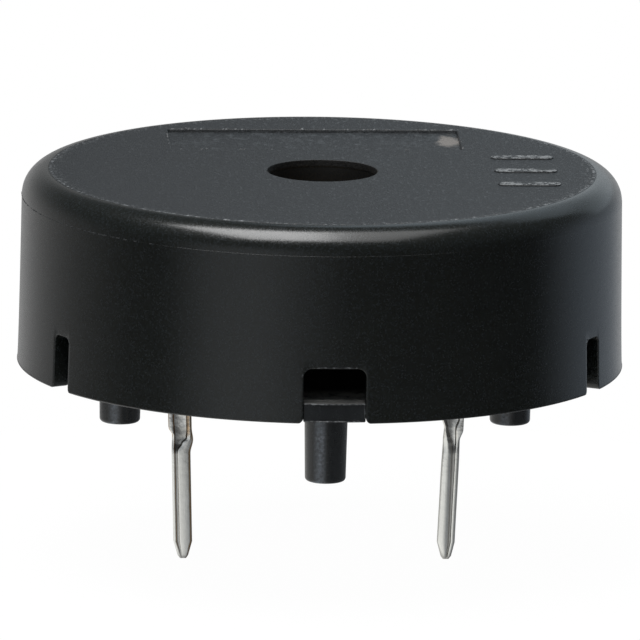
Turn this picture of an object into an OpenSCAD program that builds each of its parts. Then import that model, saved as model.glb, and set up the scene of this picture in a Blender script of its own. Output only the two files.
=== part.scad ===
// Round piezo sounder for a circuit board: a moulded cup with a sound hole in its top, closed
// from below by a moulded base that stands on three feet and carries two sprung terminals.
// Millimetres. The origin is on the axis of the case, level with the ends of the feet, which
// is the face of the board. +Z points out of the sound hole and -Y at the foot on its own.

/* [Case] */
// Diameter of the case at its open rim
case_d = 22; // [20:0.1:26]
// Height of the case, from its open rim to its flat top
case_h = 7.1; // [6.6:0.05:9]
// How much nearer the axis the side wall is at its parting line than at its rim
case_draft = 0.1; // [0:0.01:0.2]
// Radius of the rounded top edge
edge_r = 0.97; // [0.6:0.01:1.1]
// Depth of the step at the parting line
parting_step = 0.03; // [0.01:0.01:0.06]
// Height of the fine ridge around the flat top
ridge_h = 0.03; // [0.01:0.01:0.06]
// Width of the fine ridge around the flat top
ridge_w = 0.1; // [0.05:0.01:0.2]
// Thickness of the top wall
top_t = 0.8; // [0.6:0.05:1.2]
// Thickness of the lip around the base
lip_t = 0.65; // [0.5:0.05:1]
// Diameter of the sound hole
port_d = 4; // [2:0.1:8]

/* [Plain panel and raised bars on the top] */
// Length of the sunk panel
panel_l = 10.6; // [6:0.1:12]
// Width of the sunk panel
panel_w = 3.7; // [2:0.1:4]
// Depth of the sunk panel
panel_depth = 0.12; // [0.05:0.01:0.3]
// Distance from the axis to the middle of the sunk panel
panel_y = 5.75; // [5:0.05:6.5]
// Number of raised bars
bar_count = 3; // [1:1:4]
// Length of a raised bar
bar_l = 2.3; // [1:0.1:3]
// Width of a raised bar
bar_w = 0.55; // [0.3:0.05:1]
// Height of a raised bar
bar_h = 0.06; // [0.03:0.01:0.15]
// Distance from one raised bar to the next
bar_pitch = 2.45; // [1.5:0.05:3]
// Distance from the axis to the middle of the raised bars
bar_x = 7.4; // [5:0.1:7.8]

/* [Openings in the rim] */
// Number of notches, and of slots between them
notch_count = 3; // [2:1:4]
// Width of a notch
notch_w = 2.25; // [1.5:0.05:4]
// Height of the notches and slots
notch_h = 2; // [1:0.1:2.4]
// Radius of a notch's upper corners
notch_r = 0.35; // [0.1:0.05:0.6]
// Width of a slot
slot_w = 0.95; // [0.6:0.05:2]
// Radius of a slot's upper corners
slot_r = 0.35; // [0.1:0.05:0.45]
// Angle by which the slots beside the front notch are further round than halfway
slot_off = 1.5; // [0:0.5:5]
// Radius where an opening meets the rim
rim_r = 0.15; // [0.05:0.05:0.4]

/* [Disc] */
// Width of the ledge that the disc's edge rests on
ledge_w = 0.75; // [0.4:0.05:1.2]
// Gap between the disc's edge and the case
disc_gap = 0.15; // [0.05:0.01:0.3]
// Thickness of the brass plate
disc_t = 0.2; // [0.1:0.01:0.3]
// Height of the space between the disc and the top wall
front_h = 2.45; // [1.6:0.05:2.8]
// Diameter of the ceramic disc
ceramic_d = 14; // [13.6:0.1:15]
// Thickness of the ceramic disc
ceramic_t = 0.2; // [0.1:0.01:0.3]
// Bare border of the ceramic around its silver coat
electrode_border = 0.5; // [0.2:0.05:0.6]
// Thickness of the silver coat
electrode_t = 0.03; // [0.01:0.01:0.05]
// Width of the silicone bead on the back of the disc's edge
bead_w = 0.55; // [0.3:0.05:0.8]
// Height of the silicone bead on the wall
bead_h = 0.4; // [0.2:0.05:0.6]

/* [Base] */
// Thickness of the base
base_t = 0.67; // [0.5:0.01:1.2]
// How far the base sits inside the rim
base_inset = 0.05; // [0:0.01:0.2]
// Width of the step in the case that the base rests against
base_seat = 0.2; // [0.1:0.05:0.4]
// Gap between the base and the case
base_gap = 0.03; // [0.02:0.01:0.1]
// How far the base's snap ring stands out of its edge
snap_h = 0.1; // [0.06:0.01:0.15]
// How far a lug's face is from the outside of the case
lug_inset = 0.1; // [0:0.01:0.3]
// Height of a foot below the rim of the case
foot_h = 2.78; // [1:0.01:5]
// Diameter of a foot at the base
foot_d = 1.58; // [1:0.01:2.2]
// Diameter of a foot at its end
foot_end_d = 1.48; // [0.9:0.01:2]
// Radius of a foot's lower edge
foot_edge_r = 0.14; // [0.05:0.01:0.3]
// Diameter of the circle through the feet
foot_pcd = 15.2; // [12:0.1:17]
// Angle from the foot on its own to each of the other two
foot_spread = 110.5; // [95:0.5:140]
// Angle by which the foot on its own is off the middle of its notch
foot_off = -1; // [-3:0.5:3]

/* [Terminals] */
// Distance between the terminals where they leave the base
pitch = 10; // [8:0.1:10.2]
// How far the pair of terminals sits towards +X
pair_off = -0.07; // [-0.2:0.01:0.2]
// Thickness of the strip
strip_t = 0.18; // [0.15:0.01:0.22]
// Width of the strip in the base
strip_w = 0.83; // [0.6:0.01:1]
// Gap between the strip and its slot in the base
strip_gap = 0.03; // [0.01:0.01:0.08]
// Width of the shoulders that rest on the base's block
shoulder_w = 1.5; // [1.2:0.05:2]
// Height of the shoulders
shoulder_h = 0.35; // [0.2:0.05:0.6]
// Height of the block around each strip
block_h = 0.75; // [0.4:0.05:0.9]
// Wall of the block around each strip
block_t = 0.5; // [0.3:0.05:0.8]
// Width of the folded pin
pin_w = 0.66; // [0.5:0.01:0.8]
// Width of the pin's narrow flap, on its outer side
flap_w = 0.15; // [0.1:0.01:0.2]
// Width of the seam between the pin's two flaps
seam_w = 0.07; // [0.03:0.01:0.12]
// Length of the pins below the board's upper face
pin_l = 4.5; // [2:0.1:8]
// Height above the board at which the strip's edges start to close
fold_top = 0.35; // [0.2:0.05:0.8]
// Height over which they close
fold_h = 0.8; // [0.4:0.05:1.2]
// Length of the pin's taper
tip_l = 0.64; // [0.3:0.01:1]
// Width of the pin's tip
tip_w = 0.28; // [0.15:0.01:0.4]
// How far the tip's middle is towards the inner side
tip_off = 0.05; // [0:0.01:0.1]
// Angle by which the pins lean towards each other
lean = 1.8; // [0:0.1:4]
// How far inside the silver coat's edge one spring presses
electrode_inset = 0.35; // [0.3:0.05:0.6]
// Radius of the springs' bends
bend_r = 0.45; // [0.3:0.05:0.6]
// Length of the springs' steep last stretch
ramp_l = 0.5; // [0.3:0.05:0.7]
// Radius of the springs' crests, which press on the disc
crest_r = 0.6; // [0.4:0.05:0.8]

/* [Hidden] */
$fn = 96;

cut = 1; // how far a cutter reaches past what it cuts

// Heights, from the board's face up
rim_z = foot_h;
top_z = rim_z + case_h;
base_z = rim_z + base_inset;
deck_z = base_z + base_t;
block_z = deck_z + block_h;
roof_z = top_z - top_t;
ledge_z = roof_z - front_h;
plate_z = ledge_z - disc_t;
ceramic_z = plate_z - ceramic_t;
electrode_z = ceramic_z - electrode_t;

// Radii, from the outside in
rim_radius = case_d / 2;
parting_radius = rim_radius - case_draft;
flat_radius = parting_radius - parting_step - edge_r;
lip_radius = rim_radius - lip_t;
base_radius = lip_radius - base_gap;
pocket_radius = lip_radius - base_seat;
disc_radius = pocket_radius - disc_gap;
chamber_radius = pocket_radius - ledge_w;
electrode_radius = ceramic_d / 2 - electrode_border;

// The moulded openings
turn = 360 / notch_count;
function slot_angle(even) = even + slot_off * sign(180 - even);
snap_r = base_t / 4;

// How far each spring reaches sideways: one to the edge of the silver coat, and the other to
// the middle of the bare brass between the ceramic and the ledge
plate_contact_r = (ceramic_d / 2 + chamber_radius) / 2;
electrode_reach = sqrt(pow(electrode_radius - electrode_inset, 2) - pow(pitch / 2, 2));
plate_reach = sqrt(pow(plate_contact_r, 2) - pow(pitch / 2, 2));

// The pin's front, and where the strip's edges start to turn forward
pin_front = -1.5 * strip_t;
trough_z = (fold_top + base_z) / 2;
seam_depth = 0.8 * strip_t;

// ---- case ----

// Half section of the solid cup, before it is hollowed
module cup_section() {
    polygon([
        [0, rim_z], [rim_radius, rim_z], [parting_radius, top_z - edge_r],
        [flat_radius + edge_r, top_z - edge_r], [flat_radius, top_z - edge_r],
        [flat_radius, top_z], [0, top_z]
    ]);
    intersection() {
        translate([flat_radius, top_z - edge_r]) circle(edge_r);
        translate([flat_radius, top_z - edge_r]) square(edge_r);
    }
    translate([flat_radius - ridge_w, top_z - edge_r / 2]) square([ridge_w, edge_r / 2 + ridge_h]);
}

// Half section of what is open inside the cup: the space over the disc, the pocket that
// takes the disc, the lip that takes the base, and the groove for the base's snap ring
module hollow_section() {
    translate([0, rim_z - cut]) square([chamber_radius, roof_z - rim_z + cut]);
    translate([0, rim_z - cut]) square([pocket_radius, ledge_z - rim_z + cut]);
    translate([0, rim_z - cut]) square([lip_radius, deck_z - rim_z + cut]);
    translate([lip_radius + snap_h - snap_r, base_z + base_t / 2]) circle(snap_r);
}

// Points of an arc, from one angle to another
function arc(centre, r, from, to, steps = 6) =
    [for (k = [0 : steps]) let (a = from + (to - from) * k / steps) centre + r * [cos(a), sin(a)]];

function mirrored(points) = [for (i = [len(points) - 1 : -1 : 0]) [-points[i].x, points[i].y]];

// Outline of an opening that rises from the rim, with rounded corners above and below
module opening_outline(w, r) {
    half = concat(
        [[-w / 2 - rim_r, -cut]],
        arc([-w / 2 - rim_r, rim_r], rim_r, -90, 0),
        arc([r - w / 2, notch_h - r], r, 180, 90)
    );
    polygon(concat(half, mirrored(half)));
}

// Cutter for one opening, on the -Y side
module opening(w, r) {
    translate([0, -chamber_radius, rim_z]) rotate([90, 0, 0])
        linear_extrude(rim_radius - chamber_radius + cut) opening_outline(w, r);
}

module raised_bar() {
    straight = bar_l - bar_w;
    translate([0, 0, -bar_h]) linear_extrude(2 * bar_h) {
        square([straight, bar_w], center = true);
        for (side = [-1, 1]) translate([side * straight / 2, 0]) circle(d = bar_w);
    }
}

module case() {
    color([0.07, 0.075, 0.08]) {
        difference() {
            rotate_extrude() difference() {
                cup_section();
                hollow_section();
            }
            translate([0, 0, roof_z - cut]) cylinder(h = top_t + 2 * cut, d = port_d);
            translate([0, panel_y, top_z]) cube([panel_l, panel_w, 2 * panel_depth], center = true);
            for (i = [0 : notch_count - 1]) {
                rotate(i * turn) opening(notch_w, notch_r);
                rotate(slot_angle((i + 0.5) * turn)) opening(slot_w, slot_r);
            }
        }
        for (i = [0 : bar_count - 1])
            translate([bar_x, (i - (bar_count - 1) / 2) * bar_pitch, top_z]) raised_bar();
    }
}

// ---- base ----

// Half section of a foot, from its end up into the base
module foot_section() {
    end_r = foot_end_d / 2;
    polygon([
        [0, 0], [end_r - foot_edge_r, 0], [end_r - foot_edge_r, foot_edge_r],
        [end_r, foot_edge_r], [foot_d / 2, base_z], [foot_d / 2, base_z + base_t / 2],
        [0, base_z + base_t / 2]
    ]);
    intersection() {
        translate([end_r - foot_edge_r, foot_edge_r]) circle(foot_edge_r);
        translate([end_r - foot_edge_r, 0]) square(foot_edge_r);
    }
}

// The lug that fills the foot of one notch, on the -Y side
module lug() {
    width = notch_w - 2 * base_gap;
    reach = rim_radius - lug_inset;
    intersection() {
        translate([-width / 2, -reach, base_z]) cube([width, reach, base_t]);
        translate([0, 0, base_z]) cylinder(h = base_t, r = reach);
    }
}

module snap_ring() {
    rotate_extrude() intersection() {
        translate([base_radius + snap_h - snap_r, base_z + base_t / 2]) circle(snap_r);
        translate([base_radius - base_t / 4, base_z]) square([base_t, base_t]);
    }
}

module base() {
    color([0.08, 0.085, 0.09]) difference() {
        union() {
            translate([0, 0, base_z]) cylinder(h = base_t, r = base_radius);
            snap_ring();
            for (i = [0 : notch_count - 1]) rotate(i * turn) lug();
            for (angle = [foot_off, foot_spread, -foot_spread])
                rotate(angle) translate([0, -foot_pcd / 2]) rotate_extrude() foot_section();
            for (side = [-1, 1])
                translate([side * pitch / 2 + pair_off, 0, base_z])
                    translate([0, 0, (base_t + block_h) / 2])
                        cube([strip_w + 2 * block_t, strip_t + 2 * block_t, base_t + block_h],
                             center = true);
        }
        for (side = [-1, 1])
            translate([side * pitch / 2 + pair_off, 0, base_z])
                cube([strip_w + 2 * strip_gap, strip_t + 2 * strip_gap, 8 * base_t], center = true);
    }
}

// ---- disc ----

module diaphragm_plate() {
    color([0.8, 0.62, 0.28]) translate([0, 0, plate_z]) cylinder(h = disc_t, r = disc_radius);
}

module ceramic_disc() {
    color([0.85, 0.82, 0.74]) translate([0, 0, ceramic_z]) cylinder(h = ceramic_t, d = ceramic_d);
}

module silver_electrode() {
    color([0.85, 0.85, 0.83])
        translate([0, 0, electrode_z]) cylinder(h = electrode_t, r = electrode_radius);
}

// The bead fills the gap around the plate and slopes from the plate's back to the wall
module silicone_bead() {
    color([0.75, 0.76, 0.74]) rotate_extrude() polygon([
        [disc_radius, ledge_z], [disc_radius, plate_z], [pocket_radius - bead_w, plate_z],
        [pocket_radius - bead_w / 3, plate_z - bead_h / 2], [pocket_radius, plate_z - bead_h],
        [pocket_radius, ledge_z]
    ]);
}

// ---- terminals ----

// Middle line of a bent strip, as [point, heading] pairs: for each [length, angle, radius] it
// runs straight for the length and then turns clockwise through the angle at the radius
function bent(at, heading, bends, i = 0) =
    i == len(bends) ? [] :
    let (
        step = bends[i],
        start = at + step[0] * [cos(heading), sin(heading)],
        centre = start + step[2] * sign(step[1]) * [sin(heading), -cos(heading)],
        curve = [for (k = [0 : 8]) let (h = heading - step[1] * k / 8)
            [centre + step[2] * sign(step[1]) * [-sin(h), cos(h)], h]]
    )
    concat([[at, heading]], curve, bent(curve[8][0], curve[8][1], bends, i + 1));

// Both faces of the strip along its middle line, as one closed outline
function strip_outline(line) = concat(
    [for (p = line) p[0] + strip_t / 2 * [-sin(p[1]), cos(p[1])]],
    [for (i = [len(line) - 1 : -1 : 0]) let (p = line[i])
        p[0] - strip_t / 2 * [-sin(p[1]), cos(p[1])]]
);

// The spring, seen from the side: up from the base, a knee, a ramp and a crest that meets
// the disc from below at the given reach and height
function spring_bends(reach) =
    let (
        flat = 4, // slope of the arm after the knee
        ramp = 30, // slope of the arm's last stretch
        arm = reach - bend_r * (1 - sin(flat)) - bend_r * (sin(ramp) - sin(flat))
            - ramp_l * cos(ramp) - crest_r * sin(ramp)
    )
    [[0, 90 - flat, bend_r], [arm / cos(flat), flat - ramp, bend_r], [ramp_l, 2 * ramp, crest_r]];

module spring(reach, contact_z) {
    start_z = block_z + shoulder_h / 2;
    loose = bent([0, 0], 90, spring_bends(reach));
    riser = contact_z - strip_t / 2 - max([for (p = loose) p[0].y]) - start_z;
    line = concat([[[0, 0], 90]], [for (p = loose) [p[0] + [0, riser], p[1]]]);
    translate([-strip_w / 2, 0, start_z]) rotate([90, 0, 90])
        linear_extrude(strip_w) polygon(strip_outline(line));
}

// Outline of the pin before its seam is cut, seen from below
module pin_outline() {
    r = 0.7 * strip_t;
    x = pin_w / 2 - r;
    polygon(concat(
        arc([x, strip_t / 2 - r], r, 0, 90), arc([-x, strip_t / 2 - r], r, 90, 180),
        arc([-x, pin_front + r], r, 180, 270), arc([x, pin_front + r], r, 270, 360)
    ));
}

module seam() {
    translate([flap_w - pin_w / 2, pin_front - cut]) square([seam_w, seam_depth + cut]);
}

module tip_outline() {
    polygon([
        [-pin_w / 2, fold_top], [-pin_w / 2, tip_l - pin_l], [tip_off - tip_w / 2, -pin_l],
        [tip_off + tip_w / 2, -pin_l], [pin_w / 2, tip_l - pin_l], [pin_w / 2, fold_top]
    ]);
}

// The pin: the strip with both edges folded forward, a narrow flap and a wide one
module pin() {
    intersection() {
        translate([0, 0, -pin_l]) linear_extrude(pin_l + fold_top - fold_h) difference() {
            pin_outline();
            seam();
        }
        rotate([90, 0, 0]) linear_extrude(6 * strip_t, center = true) tip_outline();
    }
}

// Where the trough's edges close to the pin's two flaps
module fold() {
    skin = strip_t / 4;
    difference() {
        hull() {
            translate([-strip_w / 2, pin_front, fold_top]) cube([strip_w, 2 * strip_t, skin]);
            translate([0, 0, fold_top - fold_h]) linear_extrude(skin) pin_outline();
        }
        hull() {
            translate([strip_t - strip_w / 2, pin_front - cut, fold_top])
                cube([strip_w - 2 * strip_t, strip_t + cut, 2 * skin]);
            translate([0, 0, fold_top - fold_h - skin]) linear_extrude(skin) seam();
        }
    }
}

// The trough above the fold: the strip and its two edges, which turn forward on the way down
module trough() {
    translate([-strip_w / 2, -strip_t / 2, fold_top])
        cube([strip_w, strip_t, base_z - fold_top + strip_t / 2]);
    for (side = [-1, 1])
        translate([side * (strip_w - strip_t) / 2 - strip_t / 2, 0, 0]) rotate([90, 0, 90])
            linear_extrude(strip_t) polygon([
                [0, trough_z], [pin_front, (trough_z + fold_top) / 2], [pin_front, fold_top],
                [0, fold_top]
            ]);
}

// One terminal with its outer side towards -X
module terminal(reach, contact_z) {
    spring(reach, contact_z);
    translate([0, 0, block_z + shoulder_h / 2])
        cube([shoulder_w, strip_t, shoulder_h], center = true);
    translate([-strip_w / 2, -strip_t / 2, base_z])
        cube([strip_w, strip_t, block_z + shoulder_h / 2 - base_z]);
    translate([0, 0, base_z]) rotate([0, -lean, 0]) translate([0, 0, -base_z]) {
        trough();
        fold();
        pin();
    }
}

module electrode_terminal() {
    color([0.8, 0.8, 0.78]) translate([pitch / 2 + pair_off, 0])
        mirror([1, 0, 0]) terminal(electrode_reach, electrode_z);
}

module plate_terminal() {
    color([0.8, 0.8, 0.78]) translate([pair_off - pitch / 2, 0])
        terminal(plate_reach, plate_z);
}

case();
base();
diaphragm_plate();
ceramic_disc();
silver_electrode();
silicone_bead();
electrode_terminal();
plate_terminal();
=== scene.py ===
"""Looks of a round piezo sounder: black moulded cup and base, tinned pins, and the disc inside.

Lengths in the shapes are millimetres in the part's own frame: the origin on the axis at the ends
of the feet, +Z out of the sound hole, -Y at the foot on its own. Meshes are made in metres.
"""

import math

import bmesh
import bpy
from mathutils import Matrix, Vector, noise


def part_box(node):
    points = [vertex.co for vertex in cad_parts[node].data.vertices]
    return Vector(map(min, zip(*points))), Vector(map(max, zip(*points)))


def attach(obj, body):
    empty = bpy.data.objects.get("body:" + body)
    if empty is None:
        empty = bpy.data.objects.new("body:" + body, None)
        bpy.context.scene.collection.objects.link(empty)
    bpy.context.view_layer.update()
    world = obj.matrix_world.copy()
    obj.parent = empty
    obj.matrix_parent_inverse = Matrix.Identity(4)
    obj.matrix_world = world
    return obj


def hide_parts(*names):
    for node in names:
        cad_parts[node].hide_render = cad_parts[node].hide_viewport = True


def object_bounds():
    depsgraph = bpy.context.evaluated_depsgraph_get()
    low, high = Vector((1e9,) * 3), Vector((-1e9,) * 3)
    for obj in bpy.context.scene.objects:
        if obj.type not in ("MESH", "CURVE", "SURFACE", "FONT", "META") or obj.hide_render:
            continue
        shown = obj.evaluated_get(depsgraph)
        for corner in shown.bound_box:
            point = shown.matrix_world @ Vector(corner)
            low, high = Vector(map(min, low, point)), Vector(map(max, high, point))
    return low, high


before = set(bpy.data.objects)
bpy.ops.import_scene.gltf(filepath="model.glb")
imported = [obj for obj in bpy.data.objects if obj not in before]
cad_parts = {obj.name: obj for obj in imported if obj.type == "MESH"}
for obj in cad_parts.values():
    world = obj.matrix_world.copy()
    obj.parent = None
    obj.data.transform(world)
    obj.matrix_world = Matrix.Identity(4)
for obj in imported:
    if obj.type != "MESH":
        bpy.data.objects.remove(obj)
cad_low, cad_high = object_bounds()
MM = 0.001


def mm_box(node):
    low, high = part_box(node)
    return low / MM, high / MM


case_low, case_high = mm_box("case")
plate_low, plate_high = mm_box("diaphragm_plate")
coat_low, coat_high = mm_box("silver_electrode")

# ---- sizes, in millimetres, and angles in degrees ----

bar_h = 0.06
rim_z = case_low.z
top_z = case_high.z - bar_h
rim_r = case_high.x
case_draft = 0.1
edge_r = 0.97
parting_step = 0.006
parting_r = rim_r - case_draft
parting_z = top_z - edge_r
flat_r = parting_r - parting_step - edge_r
top_t = 0.8
lip_t = 0.65
lip_r = rim_r - lip_t
port_r = 2.0

base_t = 0.67
base_gap = 0.03
base_rise = 0.05
base_z = rim_z + base_rise
deck_z = base_z + base_t
blocks_top_z = mm_box("base")[1].z
base_r = lip_r - base_gap
snap_h = 0.1
snap_r = base_t / 4
lug_inset = 0.1
lug_gap = 0.004

pocket_r = mm_box("silicone_bead")[1].x
ceramic_r = mm_box("ceramic_disc")[1].x
ledge_z = plate_high.z
ledge_w = 0.75
chamber_r = pocket_r - ledge_w

panel_l = 10.6
panel_w = 3.7
panel_depth = 0.12
panel_corner_r = 0.12
panel_y = 5.75
bar_count = 3
bar_l = 2.3
bar_w = 0.55
bar_pitch = 2.45
bar_x = 7.4
pale_patch_at = (4.92, 6.05)

notch_count = 3
notch_turn = 360 / notch_count
notch_w = 2.25
slot_w = 0.95
slot_off = 1.5
opening_h = 2.0
notch_angles = [i * notch_turn for i in range(notch_count)]
slot_angles = [(i + 0.5) * notch_turn + slot_off * (1 - i) for i in range(notch_count)]
corner_r = {notch_w: 0.3, slot_w: 0.22}  # the top corners of each width of opening
flare_r = 0.22  # where an opening runs out into the rim

foot_d = 1.58
foot_end_d = 1.48
foot_edge_r = 0.14
foot_ring_r = 7.6
foot_angles = (-1.0, 110.5, -110.5)

pitch = 10.0
pair_off = -0.07
strip_t = 0.18
strip_w = 0.83
strip_gap = 0.03
block_t = 0.5
shoulder_w = 1.5
shoulder_h = 0.35
lean = 1.8
fold_z = 0.35  # where the trough's flaps are folded down to a pin
taper_z = -3.86
nose_z = -4.38
pin_end_z = -4.5
electrode_inset = 0.35
crest_r = 0.6
bend_r = 0.45

CUT = 1.0  # how far a cutter reaches past what it cuts
CUP_STEPS, PLATE_STEPS, FOOT_STEPS = 512, 256, 64  # steps round the turned forms


# ---- shapes ----

def arc(centre, radius, start, end, steps):
    """Points of an arc, from one angle to another, in degrees."""
    angles = (math.radians(start + (end - start) * k / steps) for k in range(steps + 1))
    return [(centre[0] + radius * math.cos(a), centre[1] + radius * math.sin(a)) for a in angles]


def blend_at(knots, z):
    """Value at z of a line through (z, value) knots, eased between knots down to the taper."""
    if z >= knots[0][0]:
        return knots[0][1]
    for (high, first), (low, second) in zip(knots, knots[1:]):
        if z >= low:
            t = (high - z) / (high - low)
            eased = t * t * (3 - 2 * t) if low > taper_z - 0.01 else t
            return first + (second - first) * eased
    return knots[-1][1]


def mesh_of(verts, faces):
    """A closed bmesh from points in millimetres, with its faces turned outwards."""
    made = bmesh.new()
    points = [made.verts.new(Vector(v) * MM) for v in verts]
    for face in faces:
        made.faces.new([points[i] for i in face])
    bmesh.ops.remove_doubles(made, verts=made.verts, dist=1e-4 * MM)
    bmesh.ops.recalc_face_normals(made, faces=made.faces)
    return made


def ring_faces(rings, size, wrap):
    """Faces between neighbouring rings of a grid, and from the last back to the first if wrap."""
    pairs = [(i, (i + 1) % rings) for i in range(rings if wrap else rings - 1)]
    return [
        (a * size + j, a * size + (j + 1) % size, b * size + (j + 1) % size, b * size + j)
        for a, b in pairs for j in range(size)
    ]


def loft(rings):
    """A solid through rings of points, with its ends closed."""
    size = len(rings[0])
    verts = [point for ring in rings for point in ring]
    last = (len(rings) - 1) * size
    ends = [tuple(range(size - 1, -1, -1)), tuple(range(last, last + size))]
    return mesh_of(verts, ring_faces(len(rings), size, False) + ends)


def turned(section, steps, at=(0, 0)):
    """A closed half section, as (radius, z) points, turned about an upright axis."""
    verts = []
    for k in range(steps):
        a = 2 * math.pi * k / steps
        verts += [(at[0] + r * math.sin(a), at[1] - r * math.cos(a), z) for r, z in section]
    faces = ring_faces(steps, len(section), True)
    return mesh_of(verts, faces)


def rounded_box(half_x, half_y, radius, grow=0.0, steps=4):
    """Outline of a rectangle with round corners, as (x, y) points, set outwards by grow."""
    r = max(radius + grow, 0.001)
    x, y = half_x + grow - r, half_y + grow - r
    return (
        arc((x, y), r, 0, 90, steps) + arc((-x, y), r, 90, 180, steps)
        + arc((-x, -y), r, 180, 270, steps) + arc((x, -y), r, 270, 360, steps)
    )


def block(half_x, half_y, low, high, at, radius=0.06):
    """An upright block with its edges and corners rounded."""
    rings = []
    for depth, z in ((1, low), (0.3, low + 0.3 * radius), (0, low + radius),
                     (0, high - radius), (0.3, high - 0.3 * radius), (1, high)):
        outline = rounded_box(half_x, half_y, radius * 1.5, -depth * radius * 0.7)
        rings.append([(at[0] + x, at[1] + y, z) for x, y in outline])
    return loft(rings)


def on_wall(x, rho, z, angle):
    """A point rho from the axis and x sideways of the middle of an opening at that angle."""
    y = -math.sqrt(rho * rho - x * x)
    a = math.radians(angle)
    return (x * math.cos(a) - y * math.sin(a), x * math.sin(a) + y * math.cos(a), z)


def wall_r(z):
    """Outer radius of the case's side at z. Most of the draft is near the rim."""
    return rim_r - case_draft * math.sqrt((z - rim_z) / (parting_z - rim_z))


def opening_outline(width, grow):
    """Outline of an opening that rises from the rim, as (x, z) points from left to right."""
    half = width / 2 + grow
    crown = corner_r[width] + grow
    flare = flare_r - grow
    left = (
        [(-half - flare, rim_z - CUT)]
        + arc((-half - flare, rim_z + flare), flare, -90, 0, 5)
        + arc((crown - half, rim_z + opening_h + grow - crown), crown, 180, 90, 5)
    )
    return left + [(-x, z) for x, z in reversed(left)]


def opening_cutter(width, angle):
    """Cutter for one opening, flared where it leaves the side so that it leaves a round edge."""
    edge = 0.05
    steps = [(chamber_r - rim_r, 0.0), (-edge, 0.0)]
    full = math.radians(72)
    for k in range(1, 5):
        t = full * k / 4
        steps.append((edge * (math.sin(t) - math.sin(full)), edge * (1 - math.cos(t))))
    rest = steps[-1][1]
    steps += [(0.02, rest + 0.06), (CUT, rest + 0.07)]
    rings = []
    for reach, grow in steps:
        outline = opening_outline(width, grow)
        rings.append([on_wall(x, wall_r(max(z, rim_z)) + reach, z, angle) for x, z in outline])
    return loft(rings)


def combine(first, parts, operation):
    """The first mesh joined with, or cut by, each of the others."""
    holder = new_object("work", first)
    for part in parts:
        tool = new_object("tool", part)
        step = holder.modifiers.new("step", "BOOLEAN")
        step.operation = operation
        step.solver = "EXACT"
        step.object = tool
        bpy.context.view_layer.update()
        graph = bpy.context.evaluated_depsgraph_get()
        result = bpy.data.meshes.new_from_object(holder.evaluated_get(graph))
        holder.modifiers.clear()
        old = holder.data
        holder.data = result
        bpy.data.meshes.remove(old)
        tool_mesh = tool.data
        bpy.data.objects.remove(tool)
        bpy.data.meshes.remove(tool_mesh)
    made = bmesh.new()
    made.from_mesh(holder.data)
    old = holder.data
    bpy.data.objects.remove(holder)
    bpy.data.meshes.remove(old)
    return made


def new_object(name, shape):
    """An object with the mesh of that shape, which is used up."""
    mesh = bpy.data.meshes.new(name)
    shape.to_mesh(mesh)
    shape.free()
    obj = bpy.data.objects.new(name, mesh)
    bpy.context.scene.collection.objects.link(obj)
    return obj


def border_level_faces(mesh):
    """Makes the borders of faces that look straight up sharp, so that they shade as flat."""
    straight_up = 0.99999
    shape = bmesh.new()
    shape.from_mesh(mesh)
    for edge in shape.edges:
        level = [face.normal.z > straight_up for face in edge.link_faces]
        if any(level) and not all(level):
            edge.smooth = False
    shape.to_mesh(mesh)
    shape.free()


def piece(name, shape, finish, smooth=35, node=None):
    """A finished piece of the part: smooth up to that edge angle, riding on the one body."""
    obj = new_object(name, shape)
    mesh = obj.data
    mesh.polygons.foreach_set("use_smooth", [True] * len(mesh.polygons))
    mesh.set_sharp_from_angle(angle=math.radians(smooth))
    border_level_faces(mesh)
    mesh.materials.clear()
    mesh.materials.append(finish)
    normals = obj.modifiers.new("flat_faces_stay_flat", "WEIGHTED_NORMAL")
    normals.keep_sharp = True
    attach(obj, "root")
    if node:
        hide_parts(node)


def joined(shapes):
    """Several closed shapes as one mesh, each of them used up."""
    whole = bmesh.new()
    for shape in shapes:
        part = bpy.data.meshes.new("part")
        shape.to_mesh(part)
        shape.free()
        whole.from_mesh(part)
        bpy.data.meshes.remove(part)
    return whole


# ---- finishes ----

class Value:
    """The output of a node. Sums and products of values add Math nodes beside it."""

    def __init__(self, shader, socket):
        self.shader = shader
        self.socket = socket

    def math(self, operation, first, second):
        return self.shader.node("ShaderNodeMath", {"operation": operation}, {0: first, 1: second})

    def __add__(self, other):
        return self.math("ADD", self, other)

    def __radd__(self, other):
        return self.math("ADD", other, self)

    def __sub__(self, other):
        return self.math("SUBTRACT", self, other)

    def __rsub__(self, other):
        return self.math("SUBTRACT", other, self)

    def __mul__(self, other):
        return self.math("MULTIPLY", self, other)

    def __rmul__(self, other):
        return self.math("MULTIPLY", other, self)

    def __pow__(self, other):
        return self.math("POWER", self, other)

    def sine(self):
        return self.math("SINE", self, 0.0)

    def larger(self, other):
        return self.math("MAXIMUM", self, other)


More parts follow.
